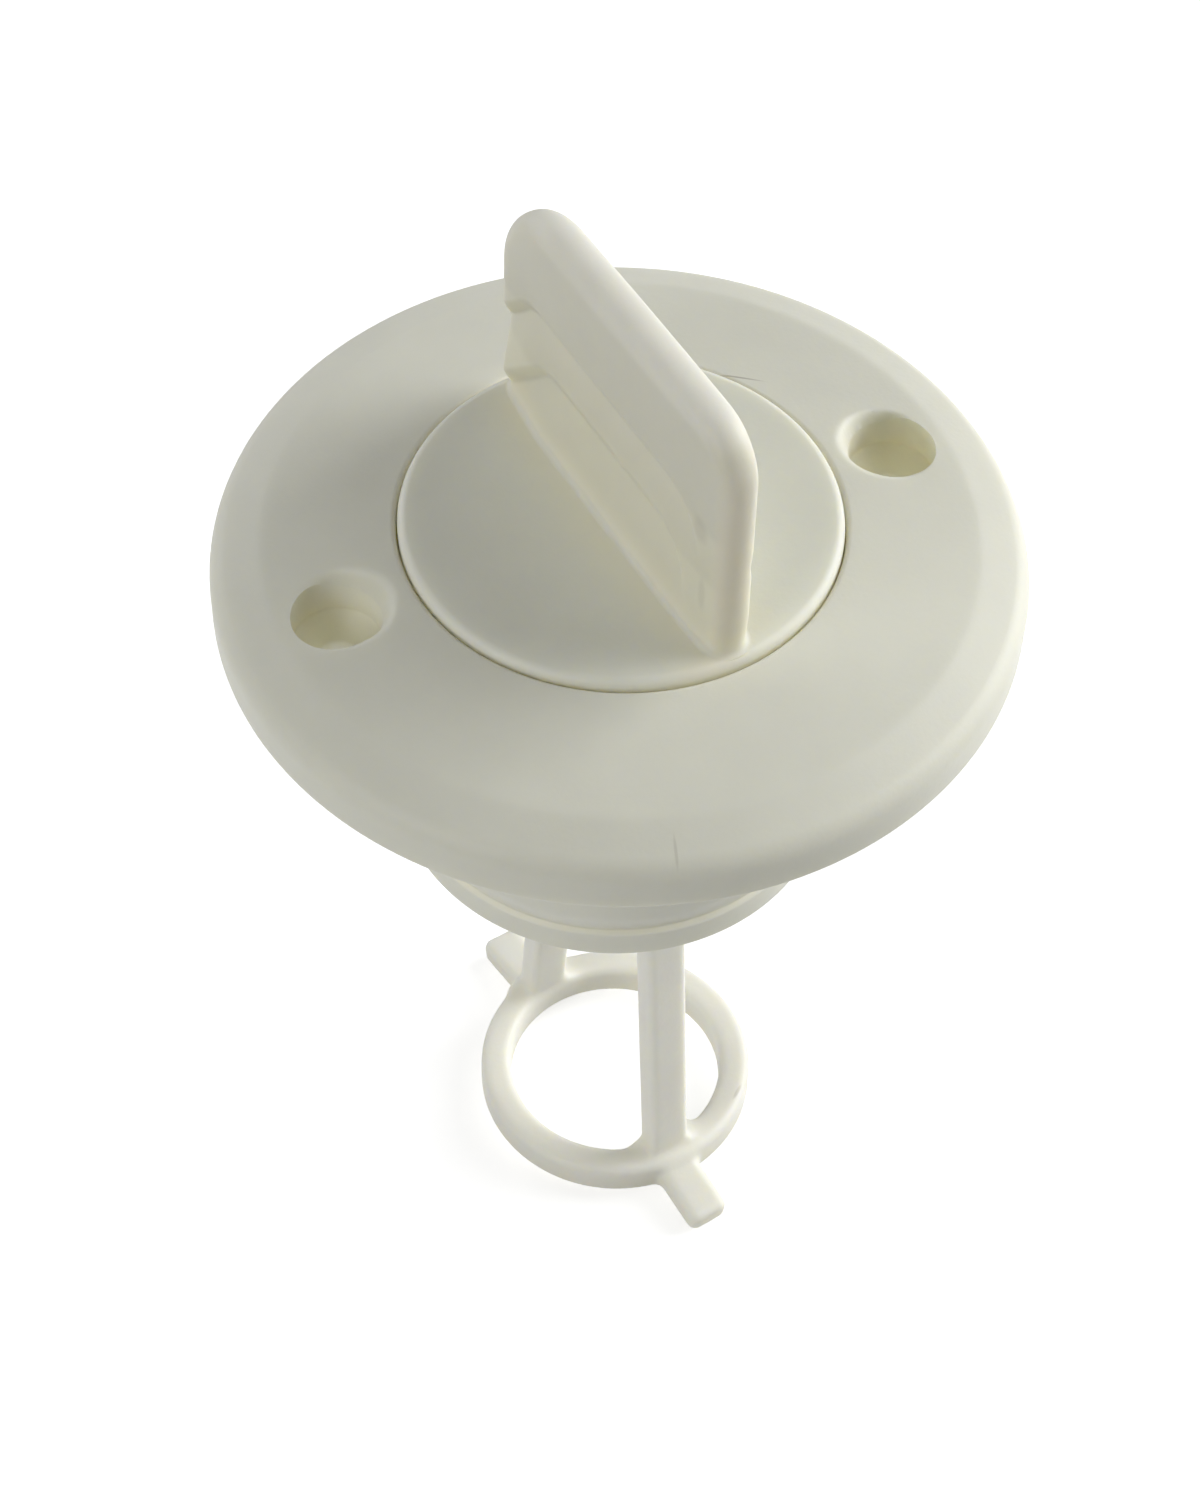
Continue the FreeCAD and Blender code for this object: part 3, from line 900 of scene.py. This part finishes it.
def add_camera():
    """The photograph's camera."""
    right, up, ahead = camera_axes()
    place = -(CAMERA_RIGHT * right + CAMERA_UP * up + CAMERA_DISTANCE * ahead)
    place[2] += CAMERA_TARGET_Z
    data = bpy.data.cameras.new("camera")
    data.sensor_width = SENSOR
    data.lens = SENSOR * FOCAL_PIXELS / max(PHOTO_WIDTH, PHOTO_HEIGHT)
    data.clip_start = CLIP_START
    data.clip_end = CLIP_END
    camera = bpy.data.objects.new("camera", data)
    bpy.context.scene.collection.objects.link(camera)
    camera.matrix_world = facing_matrix(right, up, -ahead, place * MM)
    bpy.context.scene.camera = camera


def seen_directly(nodes, links):
    """One for a camera, glossy or transmission ray, and zero for the light from dull surfaces."""
    path = nodes.new("ShaderNodeLightPath")
    first = nodes.new("ShaderNodeMath")
    first.operation = "MAXIMUM"
    links.new(path.outputs["Is Camera Ray"], first.inputs[0])
    links.new(path.outputs["Is Glossy Ray"], first.inputs[1])
    either = nodes.new("ShaderNodeMath")
    either.operation = "MAXIMUM"
    links.new(first.outputs[0], either.inputs[0])
    links.new(path.outputs["Is Transmission Ray"], either.inputs[1])
    return either.outputs[0]


def add_floor():
    """Pale floor just under the object, which keeps its soft shadow."""
    low = cad_box[0].z - FLOOR_GAP
    corners = [(x * FLOOR_HALF, y * FLOOR_HALF, low)
               for x, y in ((-1, -1), (1, -1), (1, 1), (-1, 1))]
    mesh = bpy.data.meshes.new("floor")
    mesh.from_pydata(corners, [], [(0, 1, 2, 3)])
    floor = bpy.data.objects.new("floor", mesh)
    bpy.context.scene.collection.objects.link(floor)
    material, nodes, links, both = new_material("floor", "ShaderNodeAddShader")
    dull = nodes.new("ShaderNodeBsdfDiffuse")
    dull.inputs["Color"].default_value = (FLOOR_SHADE, FLOOR_SHADE, FLOOR_SHADE, 1)
    glow = nodes.new("ShaderNodeEmission")
    place = nodes.new("ShaderNodeTexCoord")
    distance = nodes.new("ShaderNodeVectorMath")
    distance.operation = "LENGTH"
    links.new(place.outputs["Object"], distance.inputs[0])
    paler = ranged(nodes, links, distance.outputs["Value"], (FLOOR_LIFT, 1.0), FLOOR_FADE)
    lift = nodes.new("ShaderNodeMath")
    lift.operation = "MULTIPLY"
    links.new(seen_directly(nodes, links), lift.inputs[0])
    links.new(paler.outputs["Result"], lift.inputs[1])
    links.new(lift.outputs[0], glow.inputs["Strength"])
    links.new(dull.outputs[0], both.inputs[0])
    links.new(glow.outputs[0], both.inputs[1])
    mesh.materials.append(material)


def add_world():
    """White all round for the camera, and a plain soft light for everything else."""
    world = bpy.data.worlds.new("studio")
    bpy.context.scene.world = world
    world.use_nodes = True
    nodes, links = world.node_tree.nodes, world.node_tree.links
    nodes.clear()
    sky = nodes.new("ShaderNodeBackground")
    sky.inputs["Color"].default_value = (1, 1, 1, 1)
    strength = ranged(nodes, links, seen_directly(nodes, links), (AMBIENT, 1.0))
    links.new(strength.outputs["Result"], sky.inputs["Strength"])
    result = nodes.new("ShaderNodeOutputWorld")
    links.new(sky.outputs[0], result.inputs["Surface"])


def add_lamp(name, side, ahead, high, size, power):
    """Square soft lamp that faces the object, placed along the camera's level directions."""
    right, level = level_axes()
    place = right * side + level * ahead + np.array([0, 0, high])
    data = bpy.data.lights.new(name, "AREA")
    data.size = size
    data.energy = power
    lamp = bpy.data.objects.new(name, data)
    bpy.context.scene.collection.objects.link(lamp)
    back = place / np.linalg.norm(place)
    across = np.cross([0, 0, 1], back)
    across /= np.linalg.norm(across)
    lamp.matrix_world = facing_matrix(across, np.cross(back, across), back, place)


def build_stage():
    """Camera, floor and light."""
    add_camera()
    add_floor()
    add_world()
    for name, side, ahead, high, size, power in LAMPS:
        add_lamp(name, side, ahead, high, size, power)
    bpy.context.scene.view_settings.view_transform = "Standard"


build_object()
build_stage()
